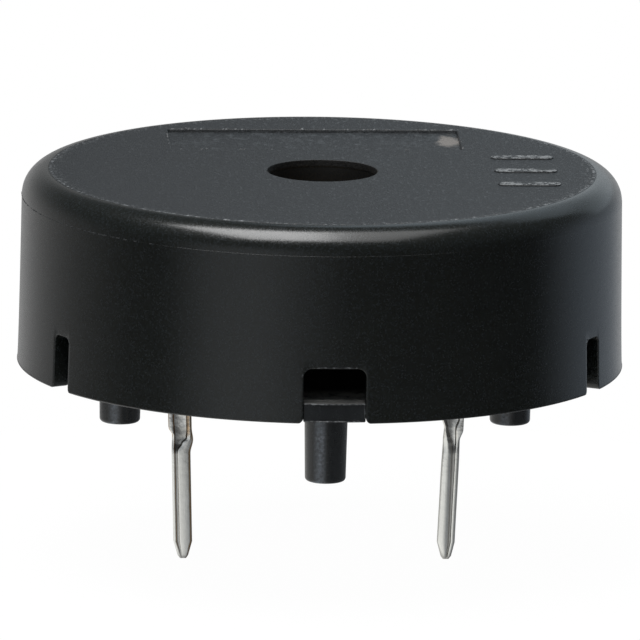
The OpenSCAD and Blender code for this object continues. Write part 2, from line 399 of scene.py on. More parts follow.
class Shader:
    """A material or world being put together."""

    def __init__(self, owner):
        owner.use_nodes = True
        self.tree = owner.node_tree
        self.tree.nodes.clear()

    def node(self, kind, settings=None, sockets=None, out=0):
        """Adds a node: its settings first, then the values or links of its sockets."""
        made = self.tree.nodes.new(kind)
        for key, value in (settings or {}).items():
            if key == "stops":
                self.set_stops(made.color_ramp, value)
            else:
                setattr(made, key, value)
        for key, value in (sockets or {}).items():
            if isinstance(value, Value):
                self.tree.links.new(value.socket, made.inputs[key])
            else:
                made.inputs[key].default_value = value
        return Value(self, made.outputs[out] if made.outputs else None)

    @staticmethod
    def set_stops(ramp, stops):
        while len(ramp.elements) < len(stops):
            ramp.elements.new(1.0)
        for element, (place, colour) in zip(ramp.elements, stops):
            element.position = place
            element.color = colour

    def where(self):
        """Where a point is, in millimetres in the part's frame."""
        metres = self.node("ShaderNodeTexCoord", out="Object")
        settings = {"operation": "SCALE"}
        return self.node("ShaderNodeVectorMath", settings, {0: metres, "Scale": 1 / MM})

    def facing(self):
        """How far the surface faces +X, from -1 to 1."""
        return self.split(self.node("ShaderNodeNewGeometry", out="Normal"))[0]

    def split(self, vector):
        """The three parts of a vector."""
        made = self.node("ShaderNodeSeparateXYZ", {}, {0: vector})
        outs = made.socket.node.outputs
        return [Value(self, outs[i]) for i in range(3)]

    def stretched(self, vector, x, y, z):
        settings = {"operation": "MULTIPLY"}
        return self.node("ShaderNodeVectorMath", settings, {0: vector, 1: (x, y, z)})

    def noise(self, vector, scale, detail=2.0, rough=0.5):
        sockets = {"Vector": vector, "Scale": scale, "Detail": detail, "Roughness": rough}
        return self.node("ShaderNodeTexNoise", {}, sockets)

    def step(self, value, low, high):
        """0 below low and 1 above high, smooth between."""
        settings = {"interpolation_type": "SMOOTHSTEP"}
        sockets = {"Value": value, "From Min": low, "From Max": high}
        return self.node("ShaderNodeMapRange", settings, sockets)

    def mix(self, share, first, second):
        """One colour over another by a share."""
        settings = {"data_type": "RGBA"}
        return self.node("ShaderNodeMix", settings, {0: share, 6: first, 7: second}, out=2)

    def bump(self, height, depth):
        """Relief of that depth in metres."""
        sockets = {"Height": height, "Distance": depth, "Strength": 1.0}
        return self.node("ShaderNodeBump", {}, sockets)


def finish_named(name, build):
    """A material whose Principled sockets are what build(shader) returns."""
    material = bpy.data.materials.new(name)
    shader = Shader(material)
    surface = shader.node("ShaderNodeBsdfPrincipled", {}, build(shader))
    shader.node("ShaderNodeOutputMaterial", {}, {"Surface": surface})
    return material


def shade(red, green, blue):
    return (red, green, blue, 1.0)


def black_resin(shader):
    """Black moulded resin: satin sides, a matt eroded top with pale specks that thicken to the right as a
    painted light gradient, and raised parts scuffed pale.

    The sunk panel is rubbed and has one pale patch, and the sound hole's inside is painted near-black as
    painted shade.
    """
    where = shader.where()
    x, y, z = shader.split(where)
    radius = (x * x + y * y) ** 0.5
    grain = shader.noise(where, 13.0, 2.0, 0.7)
    pits = shader.noise(shader.stretched(where, 1.0, 0.5, 1.0), 7.5, 3.0, 0.75)
    cloud = shader.noise(where, 0.7, 3.0)
    smear = shader.noise(shader.stretched(where, 1.0, 1.0, 2.5), 1.3, 4.0, 0.7)
    blotch = shader.noise(where, 2.6, 3.0, 0.6)
    top = shader.step(z, top_z - 0.3, top_z - 0.2) * (1 - shader.step(radius, flat_r - 0.02, flat_r + 0.06))
    sunk = top * (1 - shader.step(z, top_z - 0.09, top_z - 0.04))
    raised = shader.step(z, top_z + 0.03, top_z + 0.05)
    border = top * shader.step(radius, flat_r - 0.5, flat_r - 0.1)
    colour = shader.mix(cloud, shade(0.0056, 0.0063, 0.0052), shade(0.0087, 0.0098, 0.008))
    eroded = shader.mix(cloud, shade(0.005, 0.0067, 0.0082), shade(0.0078, 0.0104, 0.0125))
    colour = shader.mix(top, colour, eroded)
    # Painted light: the top's pale specks thicken from left to right, a painted gradient of light across
    # the top.
    speck_share_with_painted_gradient = 0.24 + 0.45 * shader.step(x, -9.0, 3.0)
    side_specks = shader.step(grain, 0.42, 0.66) * (1 - top) * 0.25
    colour = shader.mix(side_specks, colour, shade(0.028, 0.0365, 0.045))
    top_specks_and_painted_gradient = shader.step(pits, 0.52, 0.68) * top * speck_share_with_painted_gradient
    colour = shader.mix(top_specks_and_painted_gradient, colour, shade(0.051, 0.058, 0.0635))
    worn = shader.step(pits, 0.5, 0.62) * border * 0.25
    scuffed = shader.step(shader.noise(where, 5.0, 3.0, 0.7), 0.44, 0.58) * raised
    colour = shader.mix(worn.larger(scuffed), colour, shade(0.16, 0.168, 0.172))
    rubbed = shader.step(shader.noise(shader.stretched(where, 1.6, 1.0, 1.0), 1.6, 4.0, 0.75), 0.5, 0.66)
    colour = shader.mix(rubbed * sunk * 0.25, colour, shade(0.075, 0.085, 0.092))
    # Painted shade: the sound hole's inside is painted near-black and made rougher, standing in for the
    # shade down the hole.
    painted_shade_in_bore = 1 - shader.step(radius, port_r, port_r + 0.05)
    colour = shader.mix(painted_shade_in_bore, colour, shade(0.001, 0.001, 0.001))
    # A pale patch in the sunk panel, near its right end.
    off_x, off_y = (x - pale_patch_at[0]) * 2.0, (y - pale_patch_at[1]) * 0.85
    near = 1 - shader.step((off_x * off_x + off_y * off_y) ** 0.5 + 1.2 * (blotch - 0.5), 0.5, 1.1)
    colour = shader.mix(near * sunk * 0.8, colour, shade(0.17, 0.155, 0.142))
    satin = 0.2 + 0.08 * smear + 0.24 * (grain - 0.5) + 0.3 * painted_shade_in_bore
    matt = 0.36 + 0.5 * pits - 0.3 * sunk * (blotch - 0.45)
    relief = 1.5 * pits * top + 0.14 * grain
    return {
        "Base Color": colour,
        "Roughness": satin + (matt - satin) * top,
        "IOR": 1.5,
        "Normal": shader.bump(relief, 0.014 * MM),
    }


def torn_flash(shader, pale):
    """Torn flash of the same resin, which has gone pale where it broke."""
    where = shader.where()
    torn = shader.noise(where, 5.0, 4.0, 0.7)
    white = shade(pale * 0.94, pale, pale * 1.04)
    colour = shader.mix(shader.step(torn, 0.45, 0.66), shade(0.02, 0.022, 0.024), white)
    return {
        "Base Color": colour,
        "Roughness": 0.45 + 0.2 * torn,
        "IOR": 1.5,
        "Normal": shader.bump(torn, 0.02 * MM),
    }


def base_resin(shader):
    """The base's resin: matt on the decks behind the lugs, with painted light on them, and a painted
    highlight down one side of each foot.
    """
    where = shader.where()
    x, y, z = shader.split(where)
    radius = (x * x + y * y) ** 0.5
    grain = shader.noise(where, 9.0, 3.0, 0.65)
    cloud = shader.noise(where, 1.6, 3.0)
    colour = shader.mix(cloud, shade(0.006, 0.0072, 0.008), shade(0.015, 0.0172, 0.019))
    deck = shader.step(z, deck_z - 0.02, deck_z)
    patches = shader.step(shader.noise(where, 3.0, 4.0, 0.65), 0.28, 0.56)
    # Painted light: the decks behind the lugs are painted pale in mottled patches, in a band a little way
    # in from each lug's face and much dimmer near the face, standing in for light that comes in through the
    # notches.
    painted_deck_light = deck * shader.step(radius, base_r - 2.2, base_r - 1.1) * patches
    thin = shader.step(radius, base_r - 0.6, base_r + 0.3)
    colour = shader.mix(painted_deck_light, colour, shader.mix(thin, shade(0.5, 0.5, 0.48), shade(0.07, 0.07, 0.067)))
    facing = shader.facing()
    # Painted highlight: a pale stripe down the side of each foot that faces left, chosen by which way the
    # surface faces.
    painted_highlight_streak = shader.step(facing, -0.68, -0.34) * (1 - shader.step(facing, -0.28, 0.04))
    painted_highlight_streak = painted_highlight_streak * (1 - shader.step(z, base_z - 0.1, base_z)) * shader.step(grain, 0.1, 0.8)
    colour = shader.mix(painted_highlight_streak, colour, shade(0.13, 0.15, 0.175))
    return {
        "Base Color": colour,
        "Roughness": 0.2 + 0.06 * cloud + 0.3 * (grain - 0.5) + 0.5 * deck,
        "IOR": 1.5,
        "Normal": shader.bump(grain, 0.004 * MM),
    }


def tinned_strip(shader, bare):
    """Tin plating on bronze strip: faint lines down its length, a darker crease, and painted shade in the
    seam's groove.

    Bare is how much bronze the cut edges show.
    """
    where = shader.where()
    y, z = shader.split(where)[1:]
    lines = shader.noise(shader.stretched(where, 12.0, 12.0, 0.6), 1.0, 3.0, 0.6)
    patches = shader.noise(shader.stretched(where, 3.0, 3.0, 1.2), 1.0, 3.0, 0.6)
    dents = shader.noise(where, 3.5, 2.0)
    facing = shader.facing()
    tin = shader.mix(patches, shade(0.96, 0.96, 0.93), shade(0.8, 0.8, 0.775))
    tab = shader.step(z, -0.15, 0.15)
    sideways = facing.larger((0 - facing) * tab)
    edge = shader.step(sideways + 0.6 * (patches - 0.5), 0.12, 0.5) * bare
    # Painted shade: the seam's groove is painted dark and made rougher, standing in for the shade inside
    # it.
    groove = shader.step(y, -0.235, -0.2) * (1 - shader.step(y, -0.12, -0.08))
    colour = shader.mix(edge, tin, shade(0.46, 0.31, 0.17))
    # The fold's crease is darker too, more so where bare is larger.
    crease = shader.step(y, -0.15, -0.11) * shader.step(z, -0.35, -0.1) * (1 - shader.step(z, 0.25, 0.55))
    crease_and_painted_groove_shade = (crease * (0.6 * bare)).larger(groove * 0.6)
    return {
        "Base Color": shader.mix(crease_and_painted_groove_shade, colour, shade(0.26, 0.255, 0.24)),
        "Metallic": 1.0,
        "Roughness": 0.15 + 0.16 * lines + 0.15 * groove,
        "Normal": shader.bump(dents * (0.4 + tab) + 0.1 * lines, 0.014 * MM),
    }


def rolled_brass(shader):
    """Brass sheet with its rolling lines and a light tarnish."""
    where = shader.where()
    lines = shader.noise(shader.stretched(where, 0.5, 12.0, 1.0), 1.0, 4.0, 0.6)
    cloud = shader.noise(where, 0.6, 4.0, 0.6)
    colour = shader.mix(cloud, shade(0.42, 0.29, 0.11), shade(0.56, 0.42, 0.19))
    return {
        "Base Color": colour,
        "Metallic": 1.0,
        "Roughness": 0.5 + 0.2 * lines,
        "Normal": shader.bump(lines, 0.003 * MM),
    }


def fired_ceramic(shader):
    """Bare fired ceramic with fine pores."""
    where = shader.where()
    pores = shader.noise(where, 9.0, 4.0, 0.65)
    colour = shader.mix(pores, shade(0.5, 0.45, 0.36), shade(0.66, 0.61, 0.52))
    return {
        "Base Color": colour,
        "Roughness": 0.6,
        "Normal": shader.bump(pores, 0.004 * MM),
    }


def fired_silver(shader):
    """Printed and fired silver, with the print screen's fine weave left in it."""
    where = shader.where()
    x, y = shader.split(where)[:2]
    weave = (x * 40.0).sine() * (y * 40.0).sine()
    cloud = shader.noise(where, 1.2, 4.0, 0.6)
    colour = shader.mix(cloud, shade(0.62, 0.61, 0.57), shade(0.78, 0.77, 0.74))
    return {
        "Base Color": colour,
        "Metallic": 0.85,
        "Roughness": 0.42 + 0.14 * cloud,
        "Normal": shader.bump(weave, 0.002 * MM),
    }


def cured_silicone(shader):
    """Silicone adhesive, laid by a nozzle in one soft, slightly lumpy ring."""
    where = shader.where()
    lumps = shader.noise(where, 1.4, 3.0)
    colour = shader.mix(lumps, shade(0.5, 0.51, 0.49), shade(0.68, 0.69, 0.67))
    return {
        "Base Color": colour,
        "Roughness": 0.38,
        "Subsurface Weight": 0.2,
        "Subsurface Scale": 0.4 * MM,
        "Normal": shader.bump(lumps, 0.06 * MM),
    }


case_finish = finish_named("case_resin", black_resin)
base_finish = finish_named("base_resin", base_resin)
strip_finishes = {
    "electrode_terminal": finish_named("tinned_strip", lambda shader: tinned_strip(shader, 0.15)),
    "plate_terminal": finish_named("tinned_strip_bare_edge", lambda shader: tinned_strip(shader, 1.0)),
}
flash_finish = finish_named("pale_flash", lambda shader: torn_flash(shader, 0.16))
parting_finish = finish_named("faint_flash", lambda shader: torn_flash(shader, 0.024))

cad_finishes = {
    "diaphragm_plate": ("rolled_brass", rolled_brass),
    "ceramic_disc": ("fired_ceramic", fired_ceramic),
    "silver_electrode": ("fired_silver", fired_silver),
    "silicone_bead": ("cured_silicone", cured_silicone),
}
for node, (name, build) in cad_finishes.items():
    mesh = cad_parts[node].data
    mesh.materials.clear()
    mesh.materials.append(finish_named(name, build))


# ---- case ----

def case_section():
    """Closed half section of the cup: the hole's edge, the top, the side, the lip and the inside."""
    hole_edge = 0.025
    rim_edge = 0.06
    roof_z = top_z - top_t
    groove_z = base_z + base_t / 2
    groove_at = lip_r + snap_h - snap_r
    groove_turn = math.degrees(math.acos((lip_r - groove_at) / snap_r))
    roof_edge = 0.2
    side_rows = 12
    outside = (
        arc((port_r + hole_edge, top_z - hole_edge), hole_edge, 180, 90, 4)
        + [(port_r + 0.4, top_z), (flat_r - 0.25, top_z)]
        + arc((flat_r, top_z - edge_r), edge_r, 90, 0, 24)
        + [(parting_r, parting_z - 0.004)]
    )
    for k in range(1, side_rows):
        z = parting_z + (rim_z - parting_z) * math.sin(0.5 * math.pi * k / side_rows)
        outside.append((wall_r(z), z))
    under = (
        arc((rim_r - rim_edge, rim_z + rim_edge), rim_edge, 0, -90, 4)
        + arc((lip_r + rim_edge, rim_z + rim_edge), rim_edge, -90, -180, 4)
        + arc((groove_at, groove_z), snap_r, -groove_turn, groove_turn, 6)
    )
    inside = (
        [(lip_r, deck_z), (pocket_r, deck_z), (pocket_r, ledge_z), (chamber_r, ledge_z)]
        + arc((chamber_r - roof_edge, roof_z - roof_edge), roof_edge, 0, 90, 5)
        + [(port_r + 0.3, roof_z), (port_r, roof_z)]
    )
    return outside + under + inside


def panel_cutter():
    """Cutter for the sunk plain panel, flared at the top so that it leaves a soft edge."""
    rings = []
    for z, grow in ((top_z - panel_depth, -0.02), (top_z - 0.03, 0.0), (top_z - 0.01, 0.012),
                    (top_z + 0.01, 0.05), (top_z + CUT, 0.06)):
        outline = rounded_box(panel_l / 2, panel_w / 2, panel_corner_r, grow)
        rings.append([(x, panel_y + y, z) for x, y in outline])
    return loft(rings)


def raised_bar(y):
    """A plain bar with round ends and a soft upper edge."""
    rings = []
    for z, grow in ((top_z - 0.2, 0.0), (top_z + 0.4 * bar_h, 0.0), (top_z + 0.75 * bar_h, -0.015),
                    (top_z + 0.95 * bar_h, -0.05), (top_z + bar_h, -0.11)):
        outline = rounded_box(bar_l / 2, bar_w / 2, bar_w / 2, grow, 8)
        rings.append([(bar_x + px, y + py, z) for px, py in outline])
    return loft(rings)


def ragged(place, seed, low, high, scale, bias=0.5):
    """A height that changes along a moulding's flash line. A smaller bias leaves more of it low."""
    value = noise.noise(Vector((*place, 0.0)) * scale + Vector((seed, 0.0, 0.0)))
    fine = noise.noise(Vector((*place, 5.0)) * scale * 3.1 + Vector((seed, 0.0, 0.0)))
    share = min(max(bias + 0.9 * value + 0.9 * fine, 0.0), 1.0)
    return low + (high - low) * share ** 2


def flash_line(path, tilt, width, height_at):
    """A thin ragged ridge along a closed path of (x, y, z, outward x, outward y) places.

    It stands out of the wall at the tilt from level, in degrees.
    """
    sink = 0.003
    out, up = math.cos(math.radians(tilt)), math.sin(math.radians(tilt))
    verts = []
    for x, y, z, out_x, out_y in path:
        height = height_at((x, y))
        for across, share in ((-0.5, -0.02), (-0.25, 0.75), (0.0, 1.0), (0.25, 0.75), (0.5, -0.02)):
            rise = height * share - sink if share > 0 else share
            reach = rise * out - across * width * up
            verts.append((x + reach * out_x, y + reach * out_y, z + rise * up + across * width * out))
    return mesh_of(verts, ring_faces(len(path), 5, True))


def ring_path(radius, z, steps):
    """Places round the case, with the way out of it at each."""
    turns = (2 * math.pi * k / steps for k in range(steps))
    return [(radius * math.sin(a), -radius * math.cos(a), z, math.sin(a), -math.cos(a)) for a in turns]


def panel_path(step):
    """Places round the edge of the sunk panel, with the way out of it at each."""
    off = 0.05
    half_x, half_y = panel_l / 2 + off, panel_w / 2 + off
    corners = ((half_x, half_y), (-half_x, half_y), (-half_x, -half_y), (half_x, -half_y))
    outward = ((0, 1), (-1, 0), (0, -1), (1, 0))
    path = []
    for k in range(4):
        (x0, y0), (x1, y1) = corners[k], corners[(k + 1) % 4]
        count = round(math.hypot(x1 - x0, y1 - y0) / step)
        for i in range(count):
            t = i / count
            path.append((x0 + (x1 - x0) * t, panel_y + y0 + (y1 - y0) * t, top_z, *outward[k]))
    return path


def wall_flash(path, angle, reach, width, height_at):
    """A thin ragged ridge on an upright wall, along (x, z) places beside the middle of an opening."""
    sink = 0.008
    rings = []
    for k, (x, z) in enumerate(path):
        (x0, z0), (x1, z1) = path[max(k - 1, 0)], path[min(k + 1, len(path) - 1)]
        run = math.hypot(x1 - x0, z1 - z0)
        side_x, side_z = (z0 - z1) / run * width, (x1 - x0) / run * width
        height = height_at((x, z))
        ring = []
        for across, share in ((-0.5, 0.0), (-0.25, 0.75), (0.0, 1.0), (0.25, 0.75), (0.5, 0.0)):
            out = reach(z) - sink + height * share
            ring.append(on_wall(x + across * side_x, out, z + across * side_z, angle))
        rings.append(ring)
    return loft(rings)


def opening_flash(width, angle, seed):
    """The ragged flash left round the upper edge of an opening, just outside its round edge."""
    off, drop, step = 0.055, 0.45, 0.03
    outline = [(x, z) for x, z in opening_outline(width, off) if z > rim_z + opening_h - drop]
    path = []
    for (x0, z0), (x1, z1) in zip(outline, outline[1:]):
        count = max(round(math.hypot(x1 - x0, z1 - z0) / step), 1)
        path += [(x0 + (x1 - x0) * i / count, z0 + (z1 - z0) * i / count) for i in range(count)]
    return wall_flash(path, angle, wall_r, 0.05,
                      lambda at: ragged(at, seed, low=0.0, high=0.04, scale=4.0, bias=0.3))


def make_case():
    cutters = [panel_cutter()]
    for notch_angle, slot_angle in zip(notch_angles, slot_angles):
        cutters.append(opening_cutter(notch_w, notch_angle))
        cutters.append(opening_cutter(slot_w, slot_angle))
    cup = combine(turned(case_section(), CUP_STEPS), cutters, "DIFFERENCE")
    middle = (bar_count - 1) / 2
    bars = [raised_bar((i - middle) * bar_pitch) for i in range(bar_count)]
    cup = combine(cup, bars, "UNION")
    piece("case_shell", cup, case_finish, node="case")
    add_flash()


def add_flash():
    """What the mould left on the case: a line round the top, the parting line, burrs and torn edges."""
    def top_height(at):
        """Lower towards the back."""
        return ragged(at, seed=3.0, low=0.0, high=0.03, scale=6.0) * max(0.55 - 0.065 * at[1], 0.0)

    def parting_height(at):
        """Less of it towards the right."""
        return ragged(at, seed=11.0, low=-0.012, high=0.024, scale=7.0, bias=0.34 - 0.04 * at[0])

    def burr_height(at):
        """More of it along the panel's back edge."""
        return ragged(at, seed=7.0, low=-0.03, high=0.06, scale=4.0, bias=0.075 * (at[1] - 3.0))

    top_line = flash_line(ring_path(flat_r - 0.06, top_z, 1500), 90, 0.17, top_height)
    piece("top_witness_line", top_line, flash_finish)
    parting_path = ring_path(parting_r - parting_step, parting_z - 0.01, 1200)
    parting_line = flash_line(parting_path, 0, 0.06, parting_height)
    piece("side_parting_line", parting_line, parting_finish)
    burrs = flash_line(panel_path(0.05), 90, 0.09, burr_height)
    piece("panel_edge_burrs", burrs, flash_finish)
    torn = []
    for i in range(notch_count):
        torn.append(opening_flash(notch_w, notch_angles[i], 20.0 + i))
        torn.append(opening_flash(slot_w, slot_angles[i], 30.0 + i))
    piece("opening_edge_flash", joined(torn), flash_finish)


# ---- base ----

def plate_section():
    """Half section of the base's plate, with the snap ring on its edge."""
    edge = 0.08
    middle = base_z + base_t / 2
    snap_at = base_r + snap_h - snap_r
    snap_turn = math.degrees(math.acos((base_r - snap_at) / snap_r))
    return (
        [(0, base_z)]
        + arc((base_r - edge, base_z + edge), edge, -90, 0, 4)
        + arc((snap_at, middle), snap_r, -snap_turn, snap_turn, 6)
        + arc((base_r - edge, deck_z - edge), edge, 0, 90, 4)
        + [(0, deck_z)]
    )


def foot_section():
    """Half section of a foot, with its root let into the plate."""
    end_r = foot_end_d / 2
    root_r = 0.1
    inside_z = base_z + base_t / 2
    return (
        [(0, 0), (end_r - foot_edge_r - 0.1, 0)]
        + arc((end_r - foot_edge_r, foot_edge_r), foot_edge_r, -90, 0, 6)
        + arc((foot_d / 2 + root_r, base_z - root_r), root_r, 180, 90, 4)
        + [(foot_d / 2 + root_r, inside_z), (0, inside_z)]
    )


def lug(angle):
    """The lug that fills the foot of one notch, with a soft edge round its face."""
    half = notch_w / 2 - lug_gap
    reach = rim_r - lug_inset
    middle = base_z + base_t / 2
    rings = []
    for rho, grow in ((base_r - 1.2, 0), (reach - 0.03, 0), (reach - 0.01, -0.01), (reach, -0.03)):
        outline = rounded_box(half, base_t / 2, 0.04, grow)
        rings.append([on_wall(x, rho, middle + z, angle) for x, z in outline])
    return loft(rings)


def lug_flash(angle, seed):
    """The ragged lines of flash along the upper, lower and right edges of a lug's face."""
    inset, end_inset, depth = 0.02, 0.03, 0.014
    half = notch_w / 2 - end_inset
    low, high = base_z + inset, deck_z - inset
    root_r = rim_r - lug_inset - depth
    steps = 80
    shares = [k / steps for k in range(steps + 1)]
    upper = [(half * (2 * t - 1), high) for t in shares]
    lower = [(half * (2 * t - 1), low) for t in shares]
    right = [(half, low + (base_t - 2 * inset) * t) for t in shares]
    lines = []
    for path, tallest, bias in ((upper, 0.085, 0.6), (lower, 0.04, 0.5), (right, 0.05, 0.5)):
        lines.append(wall_flash(path, angle, lambda z: root_r, 0.055,
                                lambda at: ragged(at, seed, 0.004, tallest, 4.0, bias)))
    return joined(lines)


def make_base():
    parts = [lug(angle) for angle in notch_angles]
    for angle in foot_angles:
        a = math.radians(angle)
        at = (foot_ring_r * math.sin(a), -foot_ring_r * math.cos(a))
        parts.append(turned(foot_section(), FOOT_STEPS, at))
    slots = []
    for side in (-1, 1):
        at = (side * pitch / 2 + pair_off, 0)
        half = (strip_w / 2 + block_t, strip_t / 2 + block_t)
        parts.append(block(*half, base_z + base_t / 2, blocks_top_z, at))
        gap = (strip_w / 2 + strip_gap, strip_t / 2 + strip_gap)
        slots.append(block(*gap, base_z - CUT, blocks_top_z + CUT, at, 0.02))
    body = combine(turned(plate_section(), PLATE_STEPS), parts, "UNION")
    body = combine(body, slots, "DIFFERENCE")
    piece("base_body", body, base_finish, node="base")
    flashes = joined([lug_flash(angle, 2.0 + i) for i, angle in enumerate(notch_angles)])
    piece("lug_flash_lines", flashes, flash_finish)


# ---- terminals ----

def bent(at, heading, bends):
    """Middle line of a bent strip, as (point, heading) pairs; each bend is (run, angle, radius)."""
    line = []
    for run, angle, radius in bends:
        line.append((at, heading))
        start = at + run * Vector((math.cos(heading), math.sin(heading)))
        turn = math.radians(angle)
        side = math.copysign(1, turn) * radius
        centre = start + side * Vector((math.sin(heading), -math.cos(heading)))
        for k in range(9):
            now = heading - turn * k / 8
            line.append((centre + side * Vector((-math.sin(now), math.cos(now))), now))
        at, heading = line[-1]
    return line


def spring(reach, contact_z, at_x):
    """The strip from the base up, a knee, a ramp and a crest that meets the disc from below."""
    flat, ramp, ramp_l = 4, 30, 0.5
    start_z = base_z - 0.3
    sine = {angle: math.sin(math.radians(angle)) for angle in (flat, ramp)}
    arm = (reach - bend_r * (1 - sine[flat]) - bend_r * (sine[ramp] - sine[flat])
           - ramp_l * math.cos(math.radians(ramp)) - crest_r * sine[ramp])
    bends = [(0, 90 - flat, bend_r), (arm / math.cos(math.radians(flat)), flat - ramp, bend_r),
             (ramp_l, 2 * ramp, crest_r)]
    loose = bent(Vector((0, 0)), math.pi / 2, bends)
    rise = contact_z - strip_t / 2 - max(point.y for point, _ in loose)
    line = [(Vector((0, start_z)), math.pi / 2)]
    line += [(point + Vector((0, rise)), heading) for point, heading in loose]
    rings = []
    for point, heading in line:
        across = Vector((-math.sin(heading), math.cos(heading)))
        ring = []
        for x, t in rounded_box(strip_w / 2, strip_t / 2, 0.03, 0, 3):
            spot = point + across * t
            ring.append((at_x + x, spot.x, spot.y))
        rings.append(ring)
    return loft(rings)


def pin_ring(outer, inner, gap_outer, gap_inner, front, floor, corner):
    """Section of the formed strip: a trough open to the front, or a pin where the gap is a seam.

    The wide flap is crowned, and both flaps roll over into the gap.
    """
    back = strip_t / 2
    crown = 0.14 * (floor - front)
    edge = front + crown
    lip = min(0.075, 0.45 * (floor - edge))
    narrow = gap_outer - outer
    thin_lip, thin_corner = min(lip, 0.45 * narrow), min(corner, 0.5 * narrow)
    root = min(0.4 * (floor - edge), 0.025)
    flap = [(inner - corner + (gap_inner + lip - inner + corner) * t,
             front + crown * (2 * t - 1) ** 2) for t in (0.2, 0.4, 0.6, 0.8)]
    return (
        arc((gap_outer - thin_lip, edge + thin_lip), thin_lip, 0, -90, 4)
        + arc((outer + thin_corner, edge + thin_corner), thin_corner, 270, 180, 5)
        + arc((outer + corner, back - corner), corner, 180, 90, 5)
        + arc((inner - corner, back - corner), corner, 90, 0, 5)
        + arc((inner - corner, edge + corner), corner, 0, -90, 6)
        + flap
        + arc((gap_inner + lip, edge + lip), lip, -90, -180, 5)
        + arc((gap_inner - root, floor - root), root, 0, 90, 2)
        + arc((gap_outer + root, floor - root), root, 90, 180, 2)
    )


# Where each edge of the formed strip is, as (height, distance from the strip's middle) knots.
# Outer is the side away from the other terminal. The gap is the trough's, then the seam's, and
# the floor is how deep it reaches, with the front at -Y.
plate_pin_form = {
    "outer": ((0.36, -0.475), (0.1, -0.345), (-0.5, -0.375), (taper_z, -0.375), (nose_z, -0.23),
              (pin_end_z, -0.15)),
    "inner": ((0.36, 0.365), (-0.07, 0.41), (-0.6, 0.305), (taper_z, 0.305), (nose_z, 0.15),
              (pin_end_z, 0.08)),
    "gap_outer": ((0.65, -0.28), (0.0, -0.25), (-0.5, -0.27), (taper_z, -0.27), (nose_z, -0.13),
                  (pin_end_z, -0.06)),
    "gap_inner": ((0.25, 0.185), (-0.04, 0.155), (-0.19, -0.015), (-0.49, -0.165), (taper_z, -0.155),
                  (nose_z, -0.07), (pin_end_z, -0.03)),
    "floor": ((-0.2, -strip_t / 2), (-0.6, -0.21)),
}
electrode_pin_form = {
    "outer": ((0.33, -0.415), (-0.08, -0.3), (-0.8, -0.31), (taper_z, -0.29), (nose_z, -0.18),
              (pin_end_z, -0.1)),
    "inner": ((0.86, 0.425), (0.36, 0.282), (-0.08, 0.308), (-1.3, 0.335), (taper_z, 0.355),
              (nose_z, 0.2), (pin_end_z, 0.12)),
    "gap_outer": ((0.75, -0.24), (0.35, -0.13), (-0.08, -0.15), (taper_z, -0.13), (nose_z, -0.05),
                  (pin_end_z, -0.02)),
    "gap_inner": ((0.75, 0.24), (0.35, 0.15), (-0.04, 0.04), (-0.14, -0.02), (taper_z, -0.045),
                  (nose_z, -0.01), (pin_end_z, 0.01)),
    "floor": ((-0.2, -strip_t / 2), (-0.6, -0.165)),
}


def formed_strip(form, side, at_x):
    """The trough, the fold and the pin, leaning towards the other terminal."""
    least_depth = 0.004
    trough_z = (fold_z + base_z) / 2
    front_full = -1.5 * strip_t
    front = ((trough_z, -strip_t / 2 - least_depth), ((trough_z + fold_z) / 2, front_full),
             (taper_z, front_full), (nose_z, -0.22), (pin_end_z, -0.13))
    corner = ((0.3, 0.035), (-0.5, 0.12), (taper_z, 0.12), (pin_end_z, 0.07))
    heights = [base_z + 0.1, trough_z]
    heights += [trough_z - 0.1 * k for k in range(1, 8)]
    heights += [0.8 - 0.06 * k for k in range(28)]
    heights += [-1.2, -2.0, -3.0, -3.6, taper_z]
    heights += [taper_z + (nose_z - taper_z) * k for k in (0.33, 0.67, 1)] + [-4.44, -4.475, pin_end_z]
    slope = math.tan(math.radians(lean))
    rings = []
    for z in heights:
        sizes = {name: blend_at(knots, z) for name, knots in form.items()}
        front_y = blend_at(front, z)
        sizes["floor"] = max(sizes["floor"], front_y + least_depth)
        ring = pin_ring(front=front_y, corner=blend_at(corner, z), **sizes)
        shift = slope * (base_z - z)
        rings.append([(at_x - side * (x + shift), y, z) for x, y in ring])
    return loft(rings)


def make_terminal(name, node, side, form, reach, contact_z):
    at_x = side * pitch / 2 + pair_off
    wings = block(shoulder_w / 2, strip_t / 2, blocks_top_z, blocks_top_z + shoulder_h, (at_x, 0), 0.03)
    whole = combine(spring(reach, contact_z, at_x), [wings, formed_strip(form, side, at_x)], "UNION")
    piece(name, whole, strip_finishes[node], 50, node)


def make_terminals():
    """One terminal presses near the silver coat's edge, and the other on the bare brass round it."""
    half = pitch / 2
    coat_r = coat_high.x - electrode_inset
    brass_r = (ceramic_r + chamber_r) / 2
    make_terminal("electrode_strip", "electrode_terminal", 1, electrode_pin_form,
                  math.sqrt(coat_r ** 2 - half ** 2), coat_low.z)
    make_terminal("plate_strip", "plate_terminal", -1, plate_pin_form,
                  math.sqrt(brass_r ** 2 - half ** 2), plate_low.z)


make_case()
make_base()
make_terminals()


# ---- room ----

